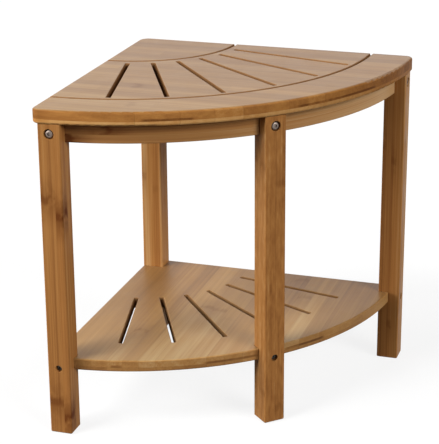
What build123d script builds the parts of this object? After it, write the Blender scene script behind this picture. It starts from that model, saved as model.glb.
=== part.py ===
from build123d import *
import os
from math import cos, radians, sqrt

# Quarter-round bamboo shower stool for a corner, with a slotted seat and a lower shelf.
# All lengths are in millimetres. Pieces are drawn from the wall corner: X runs along the right-hand
# wall, -Y runs along the left-hand wall and Z is up from the floor. At the end everything is moved
# so that the origin is on the floor, under the middle of the seat's plan.

# Seat
stool_height = 450.0
seat_radius = 406.0
seat_thickness = 19.0
seat_corner_radius = 14.0
seat_tip_radius = 11.0
seat_edge_radius = 3.0

# Drain grooves and slots
inner_groove_radius = 144.5
outer_groove_radius = 345.5
groove_width = 4.0
groove_depth = 3.0
groove_easing = 0.8
slot_count = 6
slot_width = 6.0
slot_end_radius = 1.6
slot_easing = 1.2
slot_inner_land = 10.5
slot_outer_land = 6.5

# Legs
leg_side = 30.5
leg_edge_radius = 2.0
leg_foot_chamfer = 1.0
wall_setback = 8.0
tip_setback = 2.5
front_setback = 0.5

# Shelf
shelf_height = 105.0
shelf_thickness = 16.0
shelf_edge_radius = 2.0
shelf_slot_start = 161.0
shelf_slot_end = 322.5
round_setback = 16.5
notch_clearance = 0.4

# Rails under the seat
rail_height = 27.0
rail_thickness = 18.0
rail_edge_radius = 1.5
apron_width = 30.0

# Top bolts, barrel nuts and insert
bolt_diameter = 6.0
bolt_head_diameter = 11.8
bolt_head_height = 4.2
bolt_head_rounding = 3.2
bolt_socket_width = 4.0
bolt_socket_depth = 2.0
bolt_counterbore_diameter = 14.0
bolt_counterbore_depth = 5.0
bolt_tip_length = 3.0
bolt_stagger = 4.5
nut_diameter = 10.0
nut_cover = 2.0
nut_setback = 20.0
nut_slot_width = 1.6
nut_slot_depth = 1.2
insert_diameter = 9.0
insert_length = 12.0

# Shelf screws
shelf_screw_diameter = 5.0
shelf_screw_head_diameter = 8.2
shelf_screw_head_height = 3.0
shelf_screw_head_rounding = 1.2
shelf_screw_socket_width = 3.0
shelf_screw_socket_depth = 1.6
shelf_screw_counterbore_diameter = 9.5
shelf_screw_counterbore_depth = 7.0
shelf_screw_bite = 24.0
shelf_screw_drop = 2.0

# Seat screws
seat_screw_diameter = 4.0
seat_screw_head_diameter = 8.0
seat_screw_bite = 12.0
seat_screws_per_apron = 4
seat_screws_per_rail = 2
seat_screw_drive_length = 4.0
seat_screw_drive_width = 1.0
seat_screw_drive_depth = 1.2

# Apron dowels
dowel_diameter = 6.0
dowel_apron_depth = 14.0
dowel_wall = 1.2

# Foot pads
pad_diameter = 20.0
pad_thickness = 3.0
pad_proud = 1.0
pad_chamfer = 0.4

# Fits, on a diameter: for holes that a fastener passes, and for round pieces that sit in a hole
passing_clearance = 0.6
fit_clearance = 0.1
hole_end_gap = 0.5
tip_chamfer = 0.8

# How far a cutter runs past the face that it opens
overrun = 1.0

# Levels and places worked out from the sizes above
seat_underside = stool_height - seat_thickness
rail_bottom = seat_underside - rail_height
rail_middle = seat_underside - rail_height / 2
shelf_underside = shelf_height - shelf_thickness
shelf_screw_height = shelf_height - shelf_thickness / 2 - shelf_screw_drop
leg_bottom = pad_proud
leg_centre = wall_setback + leg_side / 2
leg_inner = wall_setback + leg_side
tip_leg_outer = seat_radius - tip_setback
tip_leg_centre = tip_leg_outer - leg_side / 2
tip_leg_inner = tip_leg_outer - leg_side
front_leg_inner = seat_radius - front_setback - leg_side
front_leg_centre = front_leg_inner + leg_side / 2
diagonal = cos(radians(45))
round_radius = seat_radius - round_setback
slot_start = inner_groove_radius + groove_width / 2 + slot_inner_land
slot_end = outer_groove_radius - groove_width / 2 - slot_outer_land
bolt_hole_diameter = bolt_diameter + passing_clearance
bolt_grip = leg_side - bolt_counterbore_depth
rail_bolt_length = bolt_grip + nut_setback + nut_diameter / 2 + bolt_tip_length
front_bolt_length = bolt_grip + insert_length
shelf_screw_grip = leg_side - shelf_screw_counterbore_depth
shelf_screw_length = shelf_screw_grip + shelf_screw_bite
seat_screw_length = rail_height + seat_screw_bite
seat_screw_head_height = (seat_screw_head_diameter - seat_screw_diameter) / 2
rail_run = tip_leg_inner - leg_inner
nut_length = rail_thickness - 2 * nut_cover
nut_reach = rail_run / 2 - nut_setback
apron_middle_radius = round_radius - apron_width / 2
dowel_leg_depth = leg_side / 2 - bolt_hole_diameter / 2 - dowel_wall - hole_end_gap
dowel_reach = (tip_leg_inner + sqrt(round_radius**2 - leg_inner**2)) / 2
plan_reach = sqrt((seat_radius - seat_tip_radius) ** 2 - seat_tip_radius**2) + seat_tip_radius

# A leg's own X axis points out of the face that its bolt and screw go in by
leg_places = {
    "left": Location((leg_centre, -tip_leg_centre, 0), (0, 0, -90)),
    "back": Location((leg_centre, -leg_centre, 0), (0, 0, 180)),
    "right": Location((tip_leg_centre, -leg_centre, 0), (0, 0, 0)),
    "front": Location((front_leg_centre * diagonal, -front_leg_centre * diagonal, 0), (0, 0, -45)),
}
# The back leg has a second bolt, square to its first one and above it
back_leg_second = Location((leg_centre, -leg_centre, 0), (0, 0, 90))


def quarter_plan(radius, inset):
    """Quarter disc about the wall corner, cut back from both walls by inset."""
    reach = sqrt(radius**2 - inset**2)
    corner = (inset, -inset)
    right_tip = (reach, -inset)
    left_tip = (inset, -reach)
    front = (radius * diagonal, -radius * diagonal)
    outline = Line(corner, right_tip) + ThreePointArc(right_tip, front, left_tip) + Line(left_tip, corner)
    return make_face(outline)


def slot_fan(start, end):
    """Plan of the slots that fan out from a corner and divide the quarter turn evenly."""
    slot = Pos((start + end) / 2, 0) * RectangleRounded(end - start, slot_width, slot_end_radius)
    step = 90 / (slot_count + 1)
    return Sketch() + [Rot(0, 0, -step * (number + 1)) * slot for number in range(slot_count)]


def slotted_board(plan, slots, underside, thickness, edge_radius):
    """Flat board with its outlines rounded over, above and below, and the edges of its slots eased."""
    board = Pos(0, 0, underside) * extrude(plan - slots, thickness)
    levels = board.faces().sort_by(Axis.Z)
    board = fillet(levels[0].outer_wire().edges() + levels[-1].outer_wire().edges(), edge_radius)
    levels = board.faces().filter_by(Plane.XY).sort_by(Axis.Z)
    slot_rims = [rim for level in (levels[0], levels[-1]) for rim in level.inner_wires()]
    return fillet([edge for rim in slot_rims for edge in rim.edges()], slot_easing)


def arc_groove(radius):
    """Ring cutter about the wall corner that opens the top of the seat, with a flare for eased edges."""
    half = groove_width / 2
    flare = half + groove_easing + overrun
    floor = stool_height - groove_depth
    brim = stool_height - groove_easing
    top = stool_height + overrun
    inner_side = [(radius - flare, top), (radius - half, brim), (radius - half, floor)]
    outer_side = [(radius + half, floor), (radius + half, brim), (radius + flare, top)]
    return revolve(Plane.XZ * make_face(Polyline(inner_side + outer_side, close=True)), Axis.Z)


def bore(diameter, start, end):
    """Round cutter along Z between two levels."""
    return Pos(0, 0, (start + end) / 2) * Cylinder(diameter / 2, abs(end - start))


def taper(start_diameter, end_diameter, start, end):
    """Cone along Z between two levels."""
    return Pos(0, 0, (start + end) / 2) * Cone(start_diameter / 2, end_diameter / 2, end - start)


def head_seat(place, height, counterbore_depth):
    """Where a fastener's head bears in a leg, with Z out of the leg."""
    return place * Pos(leg_side / 2 - counterbore_depth, 0, height) * Rot(0, 90, 0)


def bolt_seat(place, rise=0.0):
    """Where a top bolt's head bears, at a rise above the middle of the rails."""
    return head_seat(place, rail_middle + rise, bolt_counterbore_depth)


def screw_seat(place):
    """Where a shelf screw's head bears, a little below the middle of the shelf board."""
    return head_seat(place, shelf_screw_height, shelf_screw_counterbore_depth)


def leg_notch(place, bottom, top):
    """Cutter that lets a leg into a board or rail, tight on the leg's inner face."""
    length = leg_side + overrun
    width = leg_side + 2 * notch_clearance
    height = top - bottom + 2 * overrun
    return place * Pos(overrun / 2, 0, (bottom + top) / 2) * Box(length, width, height)


def make_seat():
    """Seat board with two arc grooves, a fan of drain slots and pilot holes underneath."""
    plan = quarter_plan(seat_radius, 0)
    plan = fillet(plan.vertices().sort_by_distance((0, 0, 0))[0], seat_corner_radius)
    plan = fillet(plan.vertices().sort_by_distance((0, 0, 0))[-2:], seat_tip_radius)
    slots = slot_fan(slot_start, slot_end)
    seat = slotted_board(plan, slots, seat_underside, seat_thickness, seat_edge_radius)
    for radius in (inner_groove_radius, outer_groove_radius):
        seat -= arc_groove(radius)
    pilot = bore(seat_screw_diameter + fit_clearance, rail_height - overrun, seat_screw_length)
    for place in seat_screw_places:
        seat -= place * pilot
    return seat


def make_shelf():
    """Shelf board, let in round the four legs, with slots from its own corner and pilot holes for screws."""
    plan = quarter_plan(round_radius, wall_setback)
    slots = Pos(wall_setback, -wall_setback) * slot_fan(shelf_slot_start, shelf_slot_end)
    shelf = slotted_board(plan, slots, shelf_underside, shelf_thickness, shelf_edge_radius)
    pilot = bore(shelf_screw_diameter + fit_clearance, overrun - shelf_screw_grip, -shelf_screw_length)
    for place in leg_places.values():
        shelf -= leg_notch(place, shelf_underside, shelf_height)
        shelf -= screw_seat(place) * pilot
    return shelf


def make_leg(place, bolt_seats):
    """Square leg with rounded edges, counterbored for its bolts and its shelf screw, hollowed for a pad."""
    length = seat_underside - leg_bottom
    leg = Pos(0, 0, leg_bottom + length / 2) * Box(leg_side, leg_side, length)
    leg = fillet(leg.edges().filter_by(Axis.Z), leg_edge_radius)
    leg = chamfer(leg.faces().sort_by(Axis.Z)[0].edges(), leg_foot_chamfer)
    leg -= bore(pad_diameter + fit_clearance, leg_bottom - overrun, pad_thickness)
    leg = place * leg
    bolt_hole = bore(bolt_hole_diameter, -bolt_grip - overrun, 0)
    bolt_hole += bore(bolt_counterbore_diameter, 0, bolt_counterbore_depth + overrun)
    for seat in bolt_seats:
        leg -= seat * bolt_hole
    screw_hole = bore(shelf_screw_diameter + passing_clearance, -shelf_screw_grip - overrun, 0)
    screw_hole += bore(shelf_screw_counterbore_diameter, 0, shelf_screw_counterbore_depth + overrun)
    return leg - screw_seat(place) * screw_hole


def make_apron():
    """Curved rail under the round edge, let in for the front leg and bored for its insert and dowels."""
    plan = quarter_plan(round_radius, leg_inner) - Circle(round_radius - apron_width)
    apron = Pos(0, 0, rail_bottom) * extrude(plan, rail_height)
    lower_arcs = apron.faces().sort_by(Axis.Z)[0].edges().filter_by(GeomType.CIRCLE)
    apron = fillet(lower_arcs, rail_edge_radius)
    apron -= leg_notch(leg_places["front"], rail_bottom, seat_underside)
    insert_hole_end = -front_bolt_length - hole_end_gap
    insert_hole = bore(insert_diameter + fit_clearance, overrun - bolt_grip, insert_hole_end)
    apron -= bolt_seat(leg_places["front"]) * insert_hole
    for place in dowel_places:
        apron -= place * dowel_hole
    for place in apron_screw_places:
        apron -= place * seat_screw_hole
    return apron


def make_rail(place, end_rises, screw_places):
    """Straight rail whose end holes meet cross holes for barrel nuts. Its own Y axis points inwards."""
    rail = Box(rail_run, rail_thickness, rail_height)
    rail = fillet(rail.edges().filter_by(Axis.X).group_by(Axis.Z)[0], rail_edge_radius)
    bolt_depth = rail_bolt_length - bolt_grip + hole_end_gap
    for end, rise in zip((1, -1), end_rises):
        bolt_hole = bore(bolt_hole_diameter, rail_run / 2 - bolt_depth, rail_run / 2 + overrun)
        rail -= Pos(0, 0, rise) * Rot(0, 90 * end, 0) * bolt_hole
        nut_hole = bore(nut_diameter + fit_clearance, -nut_length / 2, rail_thickness / 2 + overrun)
        rail -= Pos(end * nut_reach, 0, rise) * Rot(-90, 0, 0) * nut_hole
    rail = place * rail
    for screw_place in screw_places:
        rail -= screw_place * seat_screw_hole
    return rail


def make_barrel_nut():
    """Cross nut along Y, tapped along X, with a screwdriver slot in the end that faces inwards."""
    nut = Rot(-90, 0, 0) * Cylinder(nut_diameter / 2, nut_length)
    nut -= Rot(0, 90, 0) * Cylinder(bolt_diameter / 2 + fit_clearance / 2, nut_diameter + overrun)
    slot = Box(nut_diameter + overrun, nut_slot_depth, nut_slot_width)
    return nut - Pos(0, nut_length / 2 - nut_slot_depth / 2, 0) * slot


def domed_head(diameter, height, rounding, socket_width, socket_depth):
    """Screw head that stands on Z = 0, with a hexagon socket in its top."""
    head = bore(diameter, 0, height)
    head = fillet(head.edges().group_by(Axis.Z)[-1], rounding)
    hexagon = RegularPolygon(socket_width / 2, 6, major_radius=False)
    return head - Pos(0, 0, height - socket_depth) * extrude(hexagon, socket_depth + overrun)


def plain_shank(diameter, length):
    """Shank that hangs down from Z = 0 to an eased tip."""
    shank = bore(diameter, -length, 0)
    return chamfer(shank.edges().group_by(Axis.Z)[0], tip_chamfer)


def make_top_bolt(length):
    """Domed socket bolt. Z = 0 is under its head."""
    head = domed_head(
        bolt_head_diameter, bolt_head_height, bolt_head_rounding, bolt_socket_width, bolt_socket_depth
    )
    return head + plain_shank(bolt_diameter, length)


def make_shelf_screw():
    """Smaller socket screw that bites in the edge of the shelf. Z = 0 is under its head."""
    head = domed_head(
        shelf_screw_head_diameter,
        shelf_screw_head_height,
        shelf_screw_head_rounding,
        shelf_screw_socket_width,
        shelf_screw_socket_depth,
    )
    return head + plain_shank(shelf_screw_diameter, shelf_screw_length)


def make_seat_screw():
    """Countersunk wood screw that points up, with Z = 0 at its flat head."""
    tip_length = seat_screw_diameter
    tip_start = seat_screw_length - tip_length
    screw = bore(seat_screw_diameter, 0, tip_start)
    screw += taper(seat_screw_head_diameter, seat_screw_diameter, 0, seat_screw_head_height)
    screw += taper(seat_screw_diameter, 0, tip_start, seat_screw_length)
    slot = Box(seat_screw_drive_length, seat_screw_drive_width, 2 * seat_screw_drive_depth)
    for turn in (0, 90):
        screw -= Rot(0, 0, turn) * slot
    return screw


def make_insert():
    """Threaded insert, flush with the face that the front leg bears on."""
    insert = bore(insert_diameter, -insert_length, 0)
    return insert - bore(bolt_diameter + fit_clearance, -insert_length - overrun, overrun)


def make_dowel():
    """Peg with eased ends. Z = 0 is where the leg and the apron meet."""
    dowel = bore(dowel_diameter, -dowel_leg_depth, dowel_apron_depth)
    return chamfer(dowel.edges().filter_by(GeomType.CIRCLE), tip_chamfer)


def make_pad():
    """Non-slip disc whose lower edge is eased."""
    pad = bore(pad_diameter, 0, pad_thickness)
    return chamfer(pad.edges().group_by(Axis.Z)[0], pad_chamfer)


# Holes and places that several pieces share
seat_screw_hole = bore(seat_screw_diameter + passing_clearance, -overrun, rail_height + overrun)
seat_screw_hole += taper(
    seat_screw_head_diameter + fit_clearance, seat_screw_diameter + fit_clearance, 0, seat_screw_head_height
)
dowel_hole = bore(
    dowel_diameter + fit_clearance, -dowel_leg_depth - hole_end_gap, dowel_apron_depth + hole_end_gap
)
dowel_places = [
    Location((leg_inner, -dowel_reach, rail_middle), (0, 90, 0)),
    Location((dowel_reach, -leg_inner, rail_middle), (90, 0, 0)),
]
rail_places = {
    "left": Location((leg_centre, -(leg_inner + rail_run / 2), rail_middle), (0, 0, -90)),
    "right": Location((leg_inner + rail_run / 2, -leg_centre, rail_middle), (0, 0, 180)),
}
rail_end_rises = {"left": (0.0, bolt_stagger), "right": (-bolt_stagger, 0.0)}
rail_screw_places = {
    side: [
        place * Pos((number + 0.5) / seat_screws_per_rail * rail_run - rail_run / 2, 0, -rail_height / 2)
        for number in range(seat_screws_per_rail)
    ]
    for side, place in rail_places.items()
}
apron_screw_places = [
    Rot(0, 0, -90 * (number + 1) / (seat_screws_per_apron + 1)) * Pos(apron_middle_radius, 0, rail_bottom)
    for number in range(seat_screws_per_apron)
]
seat_screw_places = apron_screw_places + rail_screw_places["left"] + rail_screw_places["right"]
leg_bolt_seats = {
    "left": [bolt_seat(leg_places["left"])],
    "back": [bolt_seat(leg_places["back"], -bolt_stagger), bolt_seat(back_leg_second, bolt_stagger)],
    "right": [bolt_seat(leg_places["right"])],
    "front": [bolt_seat(leg_places["front"])],
}

# The finished pieces, by name
pieces = {"seat_panel": make_seat(), "shelf_panel": make_shelf(), "curved_apron": make_apron()}
for side, place in rail_places.items():
    pieces[f"{side}_side_rail"] = make_rail(place, rail_end_rises[side], rail_screw_places[side])
for side, place in leg_places.items():
    pieces[f"{side}_leg"] = make_leg(place, leg_bolt_seats[side])
    pieces[f"{side}_foot_pad"] = place * make_pad()
for side, place in zip(("left", "right"), dowel_places):
    pieces[f"{side}_leg"] -= place * dowel_hole
wall_seats = leg_bolt_seats["left"] + leg_bolt_seats["back"] + leg_bolt_seats["right"]
pieces["rail_bolts"] = Compound(children=[seat * make_top_bolt(rail_bolt_length) for seat in wall_seats])
pieces["front_leg_bolt"] = leg_bolt_seats["front"][0] * make_top_bolt(front_bolt_length)
pieces["front_bolt_insert"] = leg_bolt_seats["front"][0] * Pos(0, 0, -bolt_grip) * make_insert()
pieces["barrel_nuts"] = Compound(
    children=[
        place * Pos(end * nut_reach, 0, rise) * make_barrel_nut()
        for side, place in rail_places.items()
        for end, rise in zip((1, -1), rail_end_rises[side])
    ]
)
pieces["shelf_screws"] = Compound(
    children=[screw_seat(place) * make_shelf_screw() for place in leg_places.values()]
)
pieces["seat_screws"] = Compound(children=[place * make_seat_screw() for place in seat_screw_places])
pieces["apron_dowels"] = Compound(children=[place * make_dowel() for place in dowel_places])

os.makedirs("parts", exist_ok=True)
to_floor_middle = Pos(-plan_reach / 2, plan_reach / 2, 0)
for name, piece in pieces.items():
    export_step(to_floor_middle * piece, f"parts/{name}.step")
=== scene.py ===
from math import radians

import bmesh
import bpy
from mathutils import Euler, Matrix, Vector


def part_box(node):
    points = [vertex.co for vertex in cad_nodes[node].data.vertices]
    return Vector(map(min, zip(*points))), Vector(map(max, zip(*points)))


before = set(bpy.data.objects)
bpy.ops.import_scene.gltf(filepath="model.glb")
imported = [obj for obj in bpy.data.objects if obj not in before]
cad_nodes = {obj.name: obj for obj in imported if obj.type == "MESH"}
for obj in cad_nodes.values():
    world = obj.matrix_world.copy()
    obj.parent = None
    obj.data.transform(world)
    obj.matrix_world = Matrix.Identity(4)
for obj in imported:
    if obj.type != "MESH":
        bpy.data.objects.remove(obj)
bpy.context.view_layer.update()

# Lengths are in metres. The seat's straight edges meet at the wall corner, at -X +Y.
# The grain of the seat runs along X, that of the shelf along Y and that of the legs along Z.
seat_low, seat_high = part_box("seat_panel")
shelf_low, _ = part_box("shelf_panel")
apron_low, apron_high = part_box("curved_apron")
wall_corner = Vector((seat_low.x, seat_high.y, 0.0))
shelf_setback = shelf_low.x - wall_corner.x

# Thickness of the lowest ply of each board
seat_lower_ply = 0.0065
shelf_lower_ply = 0.006

# Distance from the right-hand wall at which a board's front strip starts
front_line = 0.384

# How far slots and grooves go at most from the wall corner, over what length their bare walls fade out
# there, and how far from a board's straight edges these begin
cuts_reach = 0.352
cuts_fade = 0.008
cuts_start = (0.002, 0.004)

# On the edge of a board: how blurred its joints are, how far above its lowest ply the dark streaks fade,
# and the share of a streak's half length that is dark in full
ply_blur = 0.0003
strip_blur = 0.0005
streak_rise = (0.0022, 0.0038)
streak_core = 0.75

# Distances from the left-hand wall over which the lowest ply changes and the painted shade on the tips fades,
# the ply's share on the right and the left tip's share of that painted shade
ply_stretch = (0.08, 0.26)
left_tip_shade_stretch = (0.0, 0.04)
right_tip_shade_stretch = (0.35, 0.4)
right_ply_share = 0.7
left_tip_shade_share = 0.6

# Length of a strip that runs unbroken through its piece
unbroken = 9.0

# How far the strips of the apron and the rails start below their undersides
strip_drop = 0.001


def srgb(red, green, blue):
    """A colour as a screen shows it, from 0 to 255, as the linear colour that shaders take."""
    shares = [level / 255 for level in (red, green, blue)]
    linear = [s / 12.92 if s <= 0.04045 else ((s + 0.055) / 1.055) ** 2.4 for s in shares]
    return (*linear, 1.0)


# Colours of steamed bamboo: its tones, from the darkest strips to the palest, and its marks
dark_caramel = srgb(104, 64, 31)
caramel = srgb(142, 93, 47)
honey = srgb(166, 114, 59)
straw = srgb(190, 146, 92)
bamboo_tones = ((0.0, dark_caramel), (0.35, caramel), (0.65, honey), (1.0, straw))
knuckle_brown = srgb(92, 48, 20)
glue_brown = srgb(92, 56, 26)
rubbed_straw = srgb(200, 156, 96)
# Bare walls of slots and grooves: unlacquered brown, darkened as painted shade in these recesses
cut_and_shade_brown = srgb(124, 92, 63)
red_tint = (1.0, 0.89, 0.8, 1.0)
white = (1.0, 1.0, 1.0, 1.0)

# Marks per metre along a strip, across it and through its depth
band_marks = (2.6, 24.0, 24.0)
streak_marks = (2.2, 210.0, 210.0)
fibre_marks = (9.0, 1300.0, 1300.0)
figure_marks = (60.0, 230.0, 230.0)
blotch_marks = (60.0, 90.0, 90.0)

# Marks per metre along X, Y and Z where dark streaks on a board's edge fray
fray_marks = (30.0, 30.0, 900.0)

# Bundles of fibre per metre on cut ends, and patches of gloss per metre
bundle_marks = 900.0
gloss_marks = 35.0

# Marks per metre on steel, rubber and turned wood
cloud_marks = 260.0
scratch_marks = (900.0, 900.0, 9000.0)
pebble_marks = 1400.0
dust_marks = 120.0
fleck_marks = (500.0, 500.0, 1500.0)

# How far apart the stretches of noise lie, at most, that strips take their fibres from
strip_shift = 40.0

# Between which values of noise things change
noise_range = (0.3, 0.7)
blotch_range = (0.28, 0.52)
fray_range = (0.3, 0.6)
cloud_range = (0.35, 0.75)
dust_range = (0.4, 0.8)

# Between which chances strips come to have a knuckle or turn redder
knuckle_chance = (-0.05, 0.15)
redder_chance = (0.45, 1.0)

# How squarely faces look up when they count as level, up or down when they no longer count as upright, and
# along the grain when they count as cut ends, and how flat the surface is where it is no longer rubbed
level_facing = (0.55, 0.95)
upright_facing = (0.8, 0.95)
end_facing = (0.7, 0.97)
rubbed_flatness = (0.8, 0.99)

# Where marks start to fade and where they end, from their middle; a bundle's dot in shares of its cell
glue_line = (0.00008, 0.00028)
knuckle_line = (0.0018, 0.0085)
knuckle_halo = (0.001, 0.045)
bundle_dot = (0.1, 0.42)

# How far a knuckle bows from its middle to its sides, and how raggedly it runs
knuckle_bow = 0.0045
knuckle_rag = 0.014

# How far marks take on their own colour, from 0 to 1
halo_share = 0.55
knuckle_share = 0.75
glue_share = 0.3
cut_and_shade_share = 0.8
rub_share = 0.12
bundle_shares = (0.6, 0.15)
blotch_shares = (0.3, 1.0)
fray_shares = (0.5, 1.0)

# Widths of the rubbed stretch along edges and of their easing, depth of the fibres' relief, and how far
# knuckles sink in it
rub_width = 0.0016
edge_easing = 0.0006
relief_depth = 0.0001
knuckle_sink = 0.8

# Dullness of lacquered bamboo in its patches, and what fibres and knuckles add to it
patch_dullness = (0.33, 0.43)
fibre_dullness = 0.16
knuckle_dullness = 0.1


class NodeSheet:
    """One node tree, with short calls for the nodes that the finishes are made of."""

    def __init__(self, tree):
        self.tree = tree

    def add(self, kind, inputs=None, **settings):
        """Adds a node, sets it up, and fills its inputs with plain values or links."""
        made = self.tree.nodes.new(kind)
        for setting, value in settings.items():
            setattr(made, setting, value)
        for socket, value in (inputs or {}).items():
            self.fill(made.inputs[socket], value)
        return made

    def fill(self, socket, value):
        """Links a socket to another one, or sets its plain value."""
        if isinstance(value, bpy.types.NodeSocket):
            self.tree.links.new(value, socket)
        else:
            socket.default_value = value

    def math(self, operation, *values):
        return self.add("ShaderNodeMath", dict(enumerate(values)), operation=operation).outputs[0]

    def plus(self, first, *others):
        """Sum of all the values."""
        for other in others:
            first = self.math("ADD", first, other)
        return first

    def minus(self, first, second):
        return self.math("SUBTRACT", first, second)

    def times(self, first, *others):
        """Product of all the values."""
        for other in others:
            first = self.math("MULTIPLY", first, other)
        return first

    def swing(self, value, share):
        """How far a value from 0 to 1 is off its middle, times share."""
        return self.times(self.minus(value, 0.5), share)

    def ramp(self, value, start, end, first=0.0, last=1.0):
        """Goes smoothly from first to last while value goes from start to end."""
        made = self.add(
            "ShaderNodeMapRange",
            {"Value": value, "From Min": start, "From Max": end, "To Min": first, "To Max": last},
            interpolation_type="SMOOTHSTEP",
        )
        return made.outputs["Result"]

    def fade(self, value, start, end, first=1.0):
        """Falls smoothly from first to 0 while value goes from start to end."""
        return self.ramp(value, start, end, first, 0.0)

    def vector_math(self, operation, *values):
        made = self.add("ShaderNodeVectorMath", dict(enumerate(values)), operation=operation)
        return made.outputs["Value" if operation in ("DOT_PRODUCT", "LENGTH") else "Vector"]

    def stretched(self, vector, scales):
        return self.vector_math("MULTIPLY", vector, scales)

    def reach(self, vector, way):
        """How far a vector goes along a way."""
        return self.vector_math("DOT_PRODUCT", vector, way)

    def parts(self, vector):
        """The X, Y and Z of a vector."""
        return self.add("ShaderNodeSeparateXYZ", {"Vector": vector}).outputs

    def joined(self, x, y, z):
        return self.add("ShaderNodeCombineXYZ", {"X": x, "Y": y, "Z": z}).outputs["Vector"]

    def seen_place(self):
        """Place on the piece that is seen, in its own coordinates."""
        return self.add("ShaderNodeTexCoord").outputs["Object"]

    def facing(self, kind="Normal"):
        """Direction in which the surface faces."""
        return self.add("ShaderNodeNewGeometry").outputs[kind]

    def eased_facing(self, radius):
        """Direction in which the surface would face if its edges were rounded."""
        return self.add("ShaderNodeBevel", {"Radius": radius}, samples=6).outputs["Normal"]

    def mix(self, share, first, second, blend="MIX"):
        """Colour between first and second, by share."""
        made = self.add("ShaderNodeMix", {0: share, 6: first, 7: second}, data_type="RGBA", blend_type=blend)
        return made.outputs[2]

    def shades(self, value, *stops):
        """Colour along a row of (place, colour) stops."""
        made = self.add("ShaderNodeValToRGB", {"Fac": value})
        elements = made.color_ramp.elements
        while len(elements) < len(stops):
            elements.new(1.0)
        for element, (place, colour) in zip(elements, stops):
            element.position = place
            element.color = colour
        return made.outputs["Color"]

    def noise(self, vector, scale=1.0, detail=2.0, rough=0.5):
        made = self.add(
            "ShaderNodeTexNoise",
            {"Vector": vector, "Scale": scale, "Detail": detail, "Roughness": rough},
        )
        return made.outputs[0]

    def chances(self, vector, turn=0.0):
        """Three random shares that belong to a whole-numbered place."""
        made = self.add("ShaderNodeTexWhiteNoise", {"Vector": vector, "W": turn}, noise_dimensions="4D")
        return self.add("ShaderNodeSeparateColor", {"Color": made.outputs["Color"]}).outputs

    def relief(self, height, strength, depth, base=None):
        """Direction in which the surface faces with fine relief on it."""
        inputs = {"Strength": strength, "Distance": depth, "Height": height}
        if base:
            inputs["Normal"] = base
        return self.add("ShaderNodeBump", inputs).outputs["Normal"]


strip_size_names = (
    "Width",
    "Depth",
    "Length",
    "Knuckle Gap",
    "Knuckle Start",
    "Knuckle Scatter",
    "Knuckle Share",
    "Seed",
)


def make_strip_group():
    """Pattern of glued bamboo strips: X runs along the grain, Y across a strip and Z through its depth."""
    tree = bpy.data.node_groups.new("bamboo_strips", "ShaderNodeTree")
    tree.interface.new_socket("Place", in_out="INPUT", socket_type="NodeSocketVector")
    for name in strip_size_names:
        tree.interface.new_socket(name, in_out="INPUT", socket_type="NodeSocketFloat")
    sheet = NodeSheet(tree)
    given = sheet.add("NodeGroupInput").outputs
    along, across, through = sheet.parts(given["Place"])

    # Each strip is a cell across and through the board, and a row of strips end to end along it
    columns = sheet.math("DIVIDE", across, given["Width"])
    layers = sheet.math("DIVIDE", through, given["Depth"])
    cell = sheet.joined(sheet.math("FLOOR", columns), sheet.math("FLOOR", layers), given["Seed"])
    row_luck, knuckle_luck, fibre_luck = sheet.chances(cell)
    runs = sheet.plus(sheet.math("DIVIDE", along, given["Length"]), row_luck)
    tone_luck, hue_luck, strength_luck = sheet.chances(cell, sheet.math("FLOOR", runs))

    # Glue shows as a fine line where cells meet
    gaps = []
    for cells, size in ((columns, "Width"), (layers, "Depth"), (runs, "Length")):
        from_middle = sheet.math("ABSOLUTE", sheet.minus(sheet.math("FRACT", cells), 0.5))
        gaps.append(sheet.times(sheet.minus(0.5, from_middle), given[size]))
    nearest = sheet.math("MINIMUM", sheet.math("MINIMUM", gaps[0], gaps[1]), gaps[2])
    glue = sheet.fade(nearest, *glue_line)

    # Fibres are noise drawn out along the grain, with its own stretch of noise for each strip
    own_shift = sheet.joined(sheet.times(fibre_luck, strip_shift), fibre_luck, row_luck)
    own_place = sheet.vector_math("ADD", given["Place"], own_shift)
    band = sheet.noise(sheet.stretched(given["Place"], band_marks), detail=3.0)
    streak = sheet.noise(sheet.stretched(own_place, streak_marks), detail=3.0)
    fibre = sheet.noise(sheet.stretched(own_place, fibre_marks), detail=3.0, rough=0.65)
    figure = sheet.noise(sheet.stretched(own_place, figure_marks), detail=3.0)

    # Knuckles, where a cane had its joints, cross a strip in a shallow ragged bow
    scatter = sheet.swing(knuckle_luck, given["Knuckle Scatter"])
    from_start = sheet.minus(sheet.plus(along, scatter), given["Knuckle Start"])
    stations = sheet.plus(sheet.math("DIVIDE", from_start, given["Knuckle Gap"]), 0.5)
    off_knuckle = sheet.swing(sheet.math("FRACT", stations), given["Knuckle Gap"])
    off_middle = sheet.minus(sheet.math("FRACT", columns), 0.5)
    bow = sheet.times(off_middle, off_middle, 4 * knuckle_bow)
    distance = sheet.math("ABSOLUTE", sheet.plus(off_knuckle, bow, sheet.swing(streak, knuckle_rag)))

    # Only some strips have a knuckle, and it is blotchy
    odds = sheet.minus(sheet.plus(strength_luck, given["Knuckle Share"]), 1.0)
    blotches = sheet.noise(sheet.stretched(own_place, blotch_marks))
    blotchiness = sheet.ramp(blotches, *blotch_range, *blotch_shares)
    strength = sheet.times(sheet.ramp(odds, *knuckle_chance), blotchiness)

    marks = {
        "Tone": tone_luck,
        "Hue": hue_luck,
        "Band": band,
        "Streak": streak,
        "Fibre": fibre,
        "Figure": figure,
        "Knuckle": sheet.times(sheet.fade(distance, *knuckle_line), strength),
        "Halo": sheet.times(sheet.fade(distance, *knuckle_halo), strength),
        "Glue": glue,
    }
    for mark in marks:
        tree.interface.new_socket(mark, in_out="OUTPUT", socket_type="NodeSocketFloat")
    result = sheet.add("NodeGroupOutput")
    for mark, value in marks.items():
        sheet.fill(result.inputs[mark], value)
    return tree


strip_group = make_strip_group()


def strip_sizes(width, depth, gap, start, scatter, share, seed, length=unbroken):
    """Settings of the strip pattern: the sizes of a strip, and where and how often it has knuckles."""
    sizes = (width, depth, length, gap, start, scatter, share, seed)
    return dict(zip(strip_size_names, sizes))


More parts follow.
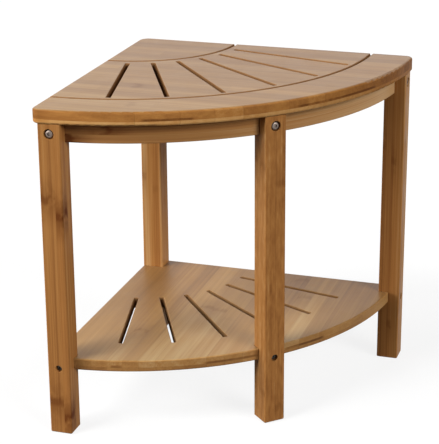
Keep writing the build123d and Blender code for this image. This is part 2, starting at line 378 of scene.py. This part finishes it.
def straight_grain(origin, turn):
    """Grain that runs along the X axis of a pattern set down at origin and turned by turn, in degrees."""
    angles = Euler([radians(degrees) for degrees in turn])

    def place(sheet):
        settled = {"Vector": sheet.seen_place(), "Location": origin, "Rotation": angles}
        return sheet.add("ShaderNodeMapping", settled, vector_type="TEXTURE").outputs["Vector"]

    return place, angles.to_matrix() @ Vector((1.0, 0.0, 0.0))


def bent_grain(centre, radius):
    """Grain that follows an arc about an upright line, with its strips stacked upwards."""

    def place(sheet):
        out_x, out_y, up = sheet.parts(sheet.vector_math("SUBTRACT", sheet.seen_place(), centre))
        angle = sheet.math("ARCTAN2", out_y, out_x)
        from_centre = sheet.vector_math("LENGTH", sheet.joined(out_x, out_y, 0.0))
        return sheet.joined(sheet.times(angle, radius), up, from_centre)

    return place, None


def board_place(sheet, board_low=0.0):
    """How far a place on a board is from the left-hand wall, from the right-hand wall and above board_low."""
    corner = (wall_corner.x, wall_corner.y, board_low)
    from_left, past_right, rise = sheet.parts(sheet.vector_math("SUBTRACT", sheet.seen_place(), corner))
    return from_left, sheet.times(past_right, -1.0), rise


def board_plies(board_low, lower_ply, paler, darker, streaks, front_strip=0.0, tip_shade=0.0):
    """Tone of a board's edge: a paler lowest ply, dark streaks just above it, a front strip, and painted
    shade on its two tips.
    """
    joint = (lower_ply - ply_blur, lower_ply + ply_blur)
    streak_top = [lower_ply + rise for rise in streak_rise]
    front_start = (front_line - strip_blur, front_line + strip_blur)

    def plies(sheet):
        from_left, from_right, rise = board_place(sheet, board_low)
        below = sheet.fade(rise, *joint)
        above = sheet.minus(sheet.fade(rise, *streak_top), below)
        pale = sheet.times(below, sheet.ramp(from_left, *ply_stretch, paler, right_ply_share * paler))
        shades = []
        for start, end in streaks:
            middle, half = (start + end) / 2, (end - start) / 2
            off_middle = sheet.math("ABSOLUTE", sheet.minus(from_right, middle))
            shades.append(sheet.fade(off_middle, streak_core * half, half, darker))
        frayed = sheet.noise(sheet.stretched(sheet.seen_place(), fray_marks))
        dark = sheet.times(above, sheet.plus(*shades), sheet.ramp(frayed, *fray_range, *fray_shares))
        front = sheet.ramp(from_right, *front_start, 0.0, front_strip)
        front = sheet.times(front, sheet.minus(1.0, below))
        # Both tips are made darker: painted shade
        left_tip_shade = sheet.fade(from_left, *left_tip_shade_stretch, left_tip_shade_share * tip_shade)
        right_tip_shade = sheet.ramp(from_left, *right_tip_shade_stretch, 0.0, tip_shade)
        return sheet.plus(sheet.minus(pale, dark), front, left_tip_shade, right_tip_shade)

    return plies


def raw_cuts(setback):
    """Finds the bare upright walls of slots and grooves in a board that lies setback from both walls."""
    start = [setback + margin for margin in cuts_start]

    def raw(sheet):
        from_left, from_right, _ = board_place(sheet)
        nearest_wall = sheet.math("MINIMUM", from_left, from_right)
        inside = sheet.ramp(nearest_wall, *start)
        levelness = sheet.math("ABSOLUTE", sheet.parts(sheet.facing("True Normal"))["Z"])
        upright = sheet.fade(levelness, *upright_facing)
        from_corner = sheet.vector_math("LENGTH", sheet.joined(from_left, from_right, 0.0))
        within = sheet.fade(from_corner, cuts_reach, cuts_reach + cuts_fade)
        return sheet.times(inside, upright, within)

    return raw


def new_finish(name, **shader_values):
    """A material with a bare shader, its node sheet and the shader's inputs."""
    material = bpy.data.materials.new(name)
    material.use_nodes = True
    sheet = NodeSheet(material.node_tree)
    shader = material.node_tree.nodes["Principled BSDF"]
    for socket, value in shader_values.items():
        shader.inputs[socket.replace("_", " ")].default_value = value
    return material, sheet, shader.inputs


# How strongly marks show, unless a piece says otherwise. A drift is the gain in tone per metre along the
# grain, across it and through it. What is named level goes for faces that look up alone.
plain_look = {
    "bands": 0.3,
    "streaks": 0.55,
    "fibres": 0.45,
    "figure": 0.0,
    "knuckles": 0.7,
    "redness": 0.4,
    "tint": white,
    "level_tint": white,
    "drift": (0.0, 0.0, 0.0),
    "level_tone": 0.0,
    "level_drift": (0.0, 0.0, 0.0),
    "gloss": 0.06,
    "lacquer": 0.0,
    "lacquer_dull": 0.3,
    "plies": None,
    "raw": None,
}
mark_shares = {"Band": "bands", "Streak": "streaks", "Fibre": "fibres", "Figure": "figure"}


def strip_tone(sheet, strip, place, level, middle, spread, look):
    """Tone of bamboo, from 0 for the darkest strips to 1 for the palest."""
    tone = sheet.plus(sheet.swing(strip["Tone"], spread), middle)
    for mark, share in mark_shares.items():
        tone = sheet.plus(tone, sheet.swing(strip[mark], look[share]))
    # The drift adds tone along the piece; on the apron it is painted light and shade
    tone = sheet.plus(tone, sheet.reach(place, look["drift"]))
    # On level faces the level drift can be painted light and shade, as on the shelf's top
    level_tone = sheet.plus(sheet.reach(place, look["level_drift"]), look["level_tone"])
    tone = sheet.plus(tone, sheet.times(level, level_tone))
    if look["plies"]:
        tone = sheet.plus(tone, sheet.times(look["plies"](sheet), sheet.minus(1.0, level)))
    return tone


def strip_colour(sheet, strip, tone, level, look):
    """Colour of bamboo: its tone with a tint, redder strips, knuckles and glue lines."""
    colour = sheet.mix(1.0, sheet.shades(tone, *bamboo_tones), look["tint"], "MULTIPLY")
    # Level faces take their own tint; on the seat's top it is partly a painted sheen
    colour = sheet.mix(level, colour, look["level_tint"], "MULTIPLY")
    redder = sheet.mix(1.0, colour, red_tint, "MULTIPLY")
    colour = sheet.mix(sheet.ramp(strip["Hue"], *redder_chance, 0.0, look["redness"]), colour, redder)
    colour = sheet.mix(sheet.times(strip["Halo"], halo_share * look["knuckles"]), colour, knuckle_brown)
    colour = sheet.mix(sheet.times(strip["Knuckle"], knuckle_share * look["knuckles"]), colour, knuckle_brown)
    return sheet.mix(sheet.times(strip["Glue"], glue_share), colour, glue_brown)


def end_grain(sheet, colour, place, normal, grain_way):
    """Cut ends show the dark bundles of fibre as dots."""
    ends = sheet.ramp(sheet.math("ABSOLUTE", sheet.reach(normal, grain_way)), *end_facing)
    flat_place = sheet.stretched(place, (0.0, 1.0, 1.0))
    bundles = sheet.add("ShaderNodeTexVoronoi", {"Vector": flat_place, "Scale": bundle_marks})
    dots = sheet.ramp(bundles.outputs["Distance"], *bundle_dot, *bundle_shares)
    return sheet.mix(sheet.times(ends, dots), colour, knuckle_brown)


def rubbed_edges(sheet, colour, normal):
    """Rubbed edges are a little paler, where the lacquer is thin."""
    flatness = sheet.reach(sheet.eased_facing(rub_width), normal)
    return sheet.mix(sheet.fade(flatness, *rubbed_flatness, rub_share), colour, rubbed_straw)


def bamboo(name, grain, strips, middle, spread, **choices):
    """Lacquered laminated bamboo, with strips whose tones differ by spread about a middle tone."""
    look = {**plain_look, **choices}
    material, sheet, shader = new_finish(
        name, IOR=1.5, Specular_IOR_Level=look["gloss"], Coat_Roughness=look["lacquer_dull"]
    )
    grain_place, grain_way = grain
    place = grain_place(sheet)
    strip = sheet.add("ShaderNodeGroup", {"Place": place, **strips}, node_tree=strip_group).outputs
    normal = sheet.facing()
    level = sheet.ramp(sheet.parts(normal)["Z"], *level_facing)
    bare = look["raw"](sheet) if look["raw"] else None

    tone = strip_tone(sheet, strip, place, level, middle, spread, look)
    colour = strip_colour(sheet, strip, tone, level, look)
    # Bare walls of slots and grooves turn dull brown: partly the unlacquered cut, partly painted shade in
    # these recesses
    if bare:
        colour = sheet.mix(sheet.times(bare, cut_and_shade_share), colour, cut_and_shade_brown)
    if grain_way:
        colour = end_grain(sheet, colour, place, normal, grain_way)
    sheet.fill(shader["Base Color"], rubbed_edges(sheet, colour, normal))

    # Level faces hold a film of lacquer, and bare cuts have no shine at all
    if look["lacquer"]:
        sheet.fill(shader["Coat Weight"], sheet.times(level, look["lacquer"]))
    if bare:
        sheet.fill(shader["Specular IOR Level"], sheet.fade(bare, 0.0, 1.0, look["gloss"]))

    # Fibres and knuckles break up the gloss, and knuckles and glue lines lie lower than the fibres
    patches = sheet.ramp(sheet.noise(place, gloss_marks, detail=3.0), *noise_range, *patch_dullness)
    dull_fibres = sheet.swing(strip["Fibre"], fibre_dullness)
    dull_knuckles = sheet.times(strip["Knuckle"], knuckle_dullness)
    sheet.fill(shader["Roughness"], sheet.plus(patches, dull_fibres, dull_knuckles))
    sunk_knuckles = sheet.times(strip["Knuckle"], -knuckle_sink)
    height = sheet.minus(sheet.plus(strip["Fibre"], sunk_knuckles), strip["Glue"])
    eased = sheet.eased_facing(edge_easing)
    sheet.fill(shader["Normal"], sheet.relief(height, strength=0.35, depth=relief_depth, base=eased))
    return material


def plated_steel(name, colour, dull):
    """Zinc-plated steel with cloudy gloss and fine scratches."""
    material, sheet, shader = new_finish(name, Metallic=1.0)
    place = sheet.seen_place()
    clouds = sheet.noise(place, cloud_marks, detail=3.0)
    scratches = sheet.noise(sheet.stretched(place, scratch_marks))
    darker = tuple(0.6 * share for share in colour[:3]) + (1.0,)
    cloudiness = sheet.ramp(clouds, *cloud_range, 0.0, 0.7)
    sheet.fill(shader["Base Color"], sheet.mix(cloudiness, colour, darker))
    sheet.fill(shader["Roughness"], sheet.ramp(scratches, *noise_range, dull - 0.08, dull + 0.1))
    sheet.fill(shader["Normal"], sheet.relief(scratches, strength=0.25, depth=0.00004))
    return material


def rubber(name):
    """Matt dark rubber with a fine pebbled skin."""
    material, sheet, shader = new_finish(name)
    place = sheet.seen_place()
    pebbles = sheet.noise(place, pebble_marks)
    dust = sheet.noise(place, dust_marks, detail=4.0)
    black, grey = srgb(34, 33, 32), srgb(62, 60, 58)
    sheet.fill(shader["Base Color"], sheet.mix(sheet.ramp(dust, *dust_range), black, grey))
    sheet.fill(shader["Roughness"], sheet.ramp(pebbles, *noise_range, 0.7, 0.85))
    sheet.fill(shader["Normal"], sheet.relief(pebbles, strength=0.4, depth=0.0001))
    return material


def turned_wood(name):
    """Pale turned wood with fine flecks."""
    material, sheet, shader = new_finish(name)
    flecks = sheet.noise(sheet.stretched(sheet.seen_place(), fleck_marks), detail=3.0)
    sheet.fill(shader["Base Color"], sheet.mix(sheet.ramp(flecks, *noise_range), honey, straw))
    sheet.fill(shader["Roughness"], sheet.ramp(flecks, *noise_range, 0.55, 0.7))
    sheet.fill(shader["Normal"], sheet.relief(flecks, strength=0.3, depth=0.0001))
    return material


def dress(node, material):
    """Gives a node of the stool its finish."""
    for slot in cad_nodes[node].material_slots:
        slot.material = material


seat_origin = (wall_corner.x, wall_corner.y - front_line, seat_low.z + seat_lower_ply)
seat_grain = straight_grain(seat_origin, (0, 0, 0))
seat_strips = strip_sizes(
    width=0.0222, depth=0.04, gap=0.31, start=0.12, scatter=0.3, share=0.3, seed=3.0, length=0.62
)
# The seat's edge gets painted shade on its two tips
seat_plies = board_plies(
    seat_low.z,
    seat_lower_ply,
    paler=0.45,
    darker=0.5,
    streaks=((0.13, 0.272), (0.352, 0.383)),
    front_strip=-0.1,
    tip_shade=-0.3,
)
seat_look = {
    "knuckles": 0.4,
    "redness": 0.15,
    # The greyer tint and paler tone of the seat's top are partly its lacquered finish and partly a painted
    # sheen
    "level_tint": (0.9, 1.13, 1.6, 1.0),
    "drift": (0.2, 0.0, 0.0),
    "level_tone": 0.1,
    "level_drift": (-0.3, -0.6, 0.0),
    "gloss": 0.02,
    "lacquer": 0.62,
    "plies": seat_plies,
    "raw": raw_cuts(0.0),
}
seat_finish = bamboo("seat_bamboo", seat_grain, seat_strips, middle=0.49, spread=0.2, **seat_look)
dress("seat_panel", seat_finish)

shelf_origin = (wall_corner.x, wall_corner.y, shelf_low.z + shelf_lower_ply)
shelf_grain = straight_grain(shelf_origin, (0, 0, 90))
shelf_strips = strip_sizes(
    width=0.0205, depth=0.04, gap=0.29, start=0.1, scatter=0.3, share=0.2, seed=1356082.0
)
shelf_plies = board_plies(
    shelf_low.z,
    shelf_lower_ply,
    paler=-0.2,
    darker=0.6,
    streaks=((0.2, 0.26), (0.285, 0.335), (0.3757, 0.3797)),
)
shelf_look = {
    "bands": 0.8,
    "streaks": 0.4,
    "knuckles": 0.3,
    "redness": 0.15,
    "tint": (0.95, 1.1, 1.35, 1.0),
    "level_tint": (0.97, 1.03, 1.05, 1.0),
    # Level tone and drift paint shade on the shelf's top: darker towards the back, where the seat shades it,
    # and towards the left, and paler towards the front and the right, where more light reaches
    "level_tone": -0.39,
    "level_drift": (-1.3, -0.35, 0.0),
    "lacquer": 0.6,
    "lacquer_dull": 0.45,
    "plies": shelf_plies,
    "raw": raw_cuts(shelf_setback),
}
shelf_finish = bamboo("shelf_bamboo", shelf_grain, shelf_strips, middle=0.65, spread=0.25, **shelf_look)
dress("shelf_panel", shelf_finish)

# Each leg has its turn in degrees, how far along X from its middle line its strips meet, their sizes,
# their middle tone, how far they differ, and its own look
leg_settings = {
    "left": {
        "turn": 0,
        "meeting": 0.0055,
        "strips": strip_sizes(
            width=0.0153, depth=0.0205, gap=0.285, start=0.036, scatter=0.03, share=0.9, seed=793657.0
        ),
        "tone": 0.415,
        "spread": 0.45,
        "look": {"knuckles": 1.3, "drift": (0.13, 0.0, 0.0)},
    },
    "back": {
        "turn": 0,
        "meeting": 0.002,
        "strips": strip_sizes(
            width=0.0153, depth=0.0092, gap=0.27, start=0.245, scatter=0.04, share=0.7, seed=206687.0
        ),
        "tone": 0.64,
        "spread": 0.5,
        "look": {"knuckles": 0.4},
    },
    "right": {
        "turn": 0,
        "meeting": -0.002,
        "strips": strip_sizes(
            width=0.0153, depth=0.0074, gap=0.25, start=0.071, scatter=0.03, share=0.9, seed=93328.0
        ),
        "tone": 0.46,
        "spread": 0.55,
        "look": {"knuckles": 0.5, "drift": (0.2, 0.0, 0.0)},
    },
    "front": {
        "turn": 45,
        "meeting": 0.0,
        "strips": strip_sizes(
            width=0.0074, depth=0.0153, gap=0.32, start=0.045, scatter=0.06, share=0.8, seed=392176.0
        ),
        "tone": 0.56,
        "spread": 0.35,
        "look": {"knuckles": 0.35, "streaks": 0.7, "figure": 0.7},
    },
}
leg_look = {"streaks": 1.1, "fibres": 0.8, "gloss": 0.02, "tint": (1.0, 1.03, 1.16, 1.0)}
for side, leg in leg_settings.items():
    low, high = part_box(f"{side}_leg")
    origin = ((low.x + high.x) / 2 + leg["meeting"], (low.y + high.y) / 2, 0.0)
    grain = straight_grain(origin, (0, -90, leg["turn"]))
    look = {**leg_look, **leg["look"]}
    finish = bamboo(f"{side}_leg_bamboo", grain, leg["strips"], leg["tone"], leg["spread"], **look)
    dress(f"{side}_leg", finish)

apron_reach = apron_high.x - wall_corner.x
apron_grain = bent_grain((wall_corner.x, wall_corner.y, apron_low.z - strip_drop), apron_reach)
apron_strips = strip_sizes(
    width=0.0126, depth=0.02, gap=0.3, start=0.116, scatter=0.3, share=0.5, seed=621357.0, length=0.9
)
apron_look = {
    "bands": 0.5,
    "streaks": 1.0,
    "fibres": 0.6,
    "knuckles": 1.0,
    # The drift makes the apron paler towards its right end and darker towards its left: painted light and
    # shade
    "drift": (1.37, 0.0, 0.0),
    "tint": (1.0, 1.09, 1.37, 1.0),
}
apron_finish = bamboo("apron_bamboo", apron_grain, apron_strips, middle=1.17, spread=0.55, **apron_look)
dress("curved_apron", apron_finish)

for side, turn in (("left", 90), ("right", 0)):
    low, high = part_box(f"{side}_side_rail")
    origin = ((low.x + high.x) / 2, (low.y + high.y) / 2, low.z - strip_drop)
    grain = straight_grain(origin, (90, 0, turn))
    strips = strip_sizes(
        width=0.0126, depth=0.0205, gap=0.28, start=0.05, scatter=0.2, share=0.5, seed=41.0 + turn, length=3.0
    )
    finish = bamboo(f"{side}_rail_bamboo", grain, strips, middle=0.5, spread=0.35, **leg_look)
    dress(f"{side}_side_rail", finish)

bright_steel = plated_steel("bolt_steel", srgb(126, 114, 106), dull=0.42)
# The screws' steel is made dark as painted shade for the deep holes they sit in
dark_steel = plated_steel("screw_steel", srgb(78, 71, 64), dull=0.42)
for node in ("rail_bolts", "front_leg_bolt", "barrel_nuts", "front_bolt_insert"):
    dress(node, bright_steel)
for node in ("shelf_screws", "seat_screws"):
    dress(node, dark_steel)
dress("apron_dowels", turned_wood("dowel_wood"))
pad_rubber = rubber("pad_rubber")
for side in leg_settings:
    dress(f"{side}_foot_pad", pad_rubber)


def seen_directly(sheet):
    """1 for what the camera sees, also in metal or through glass, and 0 for light on its way to a surface."""
    path = sheet.add("ShaderNodeLightPath").outputs
    mirrored = sheet.math("MAXIMUM", path["Is Glossy Ray"], path["Is Transmission Ray"])
    return sheet.math("MAXIMUM", path["Is Camera Ray"], mirrored)


def studio_floor(size, drop, shadow_depth, glow_strength, bounce):
    """White floor a hair below the feet that keeps a soft share of the stool's shadow."""
    mesh = bpy.data.meshes.new("studio_floor")
    shape = bmesh.new()
    bmesh.ops.create_grid(shape, x_segments=1, y_segments=1, size=size)
    shape.to_mesh(mesh)
    shape.free()
    floor = bpy.data.objects.new("studio_floor", mesh)
    floor.location.z = -drop
    bpy.context.scene.collection.objects.link(floor)
    material, sheet, _ = new_finish("studio_white")
    nodes = material.node_tree.nodes
    nodes.remove(nodes["Principled BSDF"])
    shaded_white = (shadow_depth, shadow_depth, shadow_depth, 1.0)
    bounce_grey = (bounce, bounce, bounce, 1.0)
    lit = sheet.add("ShaderNodeBsdfDiffuse", {"Color": shaded_white}).outputs[0]
    glow = sheet.add("ShaderNodeEmission", {"Color": white, "Strength": glow_strength}).outputs[0]
    shown = sheet.add("ShaderNodeAddShader", {0: lit, 1: glow}).outputs[0]
    bounced = sheet.add("ShaderNodeBsdfDiffuse", {"Color": bounce_grey}).outputs[0]
    both = sheet.add("ShaderNodeMixShader", {0: seen_directly(sheet), 1: bounced, 2: shown}).outputs[0]
    sheet.fill(nodes["Material Output"].inputs["Surface"], both)
    mesh.materials.append(material)


def studio_sky(strength):
    """Even soft light from all round, which looks white where it is seen."""
    world = bpy.data.worlds.new("studio_sky")
    world.use_nodes = True
    bpy.context.scene.world = world
    sheet = NodeSheet(world.node_tree)
    shown = world.node_tree.nodes["Background"]
    shown.inputs["Color"].default_value = white
    soft = sheet.add("ShaderNodeBackground", {"Color": white, "Strength": strength})
    shares = {0: seen_directly(sheet), 1: soft.outputs[0], 2: shown.outputs[0]}
    both = sheet.add("ShaderNodeMixShader", shares).outputs[0]
    sheet.fill(world.node_tree.nodes["World Output"].inputs["Surface"], both)


def soft_light(name, azimuth, elevation, strength, spread, shines=True):
    """Broad even light from far off, with angles in degrees: azimuth 0 is in front, at -Y, and 90 at +X."""
    light = bpy.data.lights.new(name, "SUN")
    light.energy = strength
    light.angle = radians(spread)
    lamp = bpy.data.objects.new(name, light)
    lamp.rotation_euler = (radians(90 - elevation), 0.0, radians(azimuth))
    lamp.visible_glossy = shines
    bpy.context.scene.collection.objects.link(lamp)


def set_camera(aim, distance, azimuth, elevation, roll, lens):
    """Camera that looks at aim from round the stool, with angles in degrees and the lens in millimetres."""
    turn = Euler((radians(90 - elevation), 0.0, radians(azimuth))).to_matrix().to_4x4()
    turn = turn @ Matrix.Rotation(radians(roll), 4, "Z")
    data = bpy.data.cameras.new("photo_camera")
    data.lens = lens
    camera = bpy.data.objects.new("photo_camera", data)
    back = turn @ Vector((0.0, 0.0, distance))
    camera.matrix_world = Matrix.Translation(Vector(aim) + back) @ turn
    bpy.context.scene.collection.objects.link(camera)
    bpy.context.scene.camera = camera


studio_floor(size=20.0, drop=0.0002, shadow_depth=0.16, glow_strength=0.84, bounce=0.1)
studio_sky(strength=0.03)
soft_light("left_light", azimuth=-36, elevation=46, strength=2.25, spread=18)
soft_light("low_left_light", azimuth=-62, elevation=15, strength=3.6, spread=35)
soft_light("right_light", azimuth=62, elevation=27, strength=2.3, spread=30)
soft_light("back_light", azimuth=200, elevation=12, strength=0.8, spread=40, shines=False)
set_camera(
    aim=(-0.03256, 0.0396, 0.23409),
    distance=2.2399,
    azimuth=17.9029,
    elevation=19.6698,
    roll=-0.3975,
    lens=129.73,
)
bpy.context.scene.view_settings.view_transform = "Standard"
